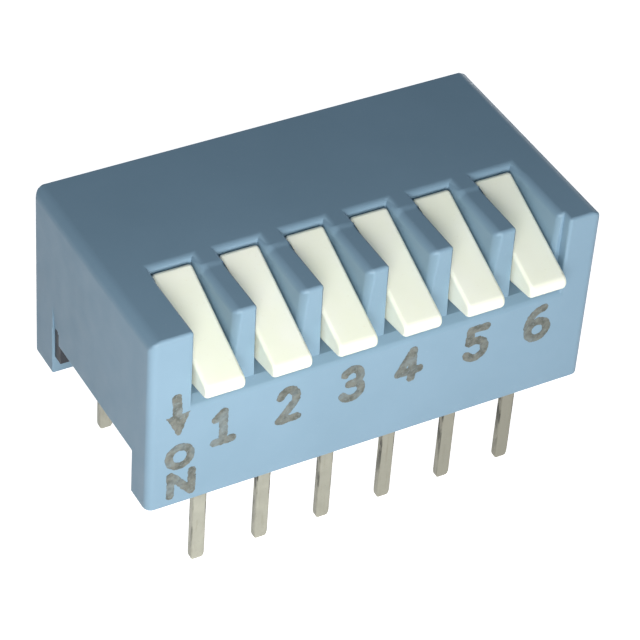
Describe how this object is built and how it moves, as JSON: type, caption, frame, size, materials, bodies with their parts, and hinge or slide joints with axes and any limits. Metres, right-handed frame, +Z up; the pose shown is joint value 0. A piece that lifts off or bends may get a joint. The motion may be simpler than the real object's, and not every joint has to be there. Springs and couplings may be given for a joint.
{
  "type": "dip switch",
  "caption": "Side-actuated DIP switch: rocking levers along the front of a moulded block, over straight flat pins for a circuit board.",
  "frame": {"origin": "centre of the pin grid on the seating plane, level with the housing's lower edge", "axes": "+X along the row of levers, -Y towards the levers, +Z up away from the pins"},
  "size_m": [0.0176, 0.0102, 0.0114],
  "materials": {
    "housing_plastic": "satin",
    "base_plastic": "matt",
    "seal_resin": "gloss",
    "lever_plastic": "satin",
    "contact_metal": "satin",
    "pin_metal": "tinned"
  },
  "bodies": {
    "switch": {"housing": "housing_plastic", "base": "base_plastic", "seal": "seal_resin", "terminal_front_1": "pin_metal", "terminal_front_2": "pin_metal", "terminal_front_3": "pin_metal", "terminal_front_4": "pin_metal", "terminal_front_5": "pin_metal", "terminal_front_6": "pin_metal", "terminal_back_1": "pin_metal", "terminal_back_2": "pin_metal", "terminal_back_3": "pin_metal", "terminal_back_4": "pin_metal", "terminal_back_5": "pin_metal", "terminal_back_6": "pin_metal"},
    "rocker_1": {"lever_1": "lever_plastic", "contact_1": "contact_metal"},
    "rocker_2": {"lever_2": "lever_plastic", "contact_2": "contact_metal"},
    "rocker_3": {"lever_3": "lever_plastic", "contact_3": "contact_metal"},
    "rocker_4": {"lever_4": "lever_plastic", "contact_4": "contact_metal"},
    "rocker_5": {"lever_5": "lever_plastic", "contact_5": "contact_metal"},
    "rocker_6": {"lever_6": "lever_plastic", "contact_6": "contact_metal"}
  },
  "joints": [
    {"name": "lever_1_rock", "type": "hinge", "parent": "switch", "child": "rocker_1", "pos_m": [-0.00635, -0.00067, 0.00565], "axis": [1, 0, 0], "range_deg": [0, 7.5]},
    {"name": "lever_2_rock", "type": "hinge", "parent": "switch", "child": "rocker_2", "pos_m": [-0.00381, -0.00067, 0.00565], "axis": [1, 0, 0], "range_deg": [0, 7.5]},
    {"name": "lever_3_rock", "type": "hinge", "parent": "switch", "child": "rocker_3", "pos_m": [-0.00127, -0.00067, 0.00565], "axis": [1, 0, 0], "range_deg": [0, 7.5]},
    {"name": "lever_4_rock", "type": "hinge", "parent": "switch", "child": "rocker_4", "pos_m": [0.00127, -0.00067, 0.00565], "axis": [1, 0, 0], "range_deg": [0, 7.5]},
    {"name": "lever_5_rock", "type": "hinge", "parent": "switch", "child": "rocker_5", "pos_m": [0.00381, -0.00067, 0.00565], "axis": [1, 0, 0], "range_deg": [0, 7.5]},
    {"name": "lever_6_rock", "type": "hinge", "parent": "switch", "child": "rocker_6", "pos_m": [0.00635, -0.00067, 0.00565], "axis": [1, 0, 0], "range_deg": [0, 7.5]}
  ]
}
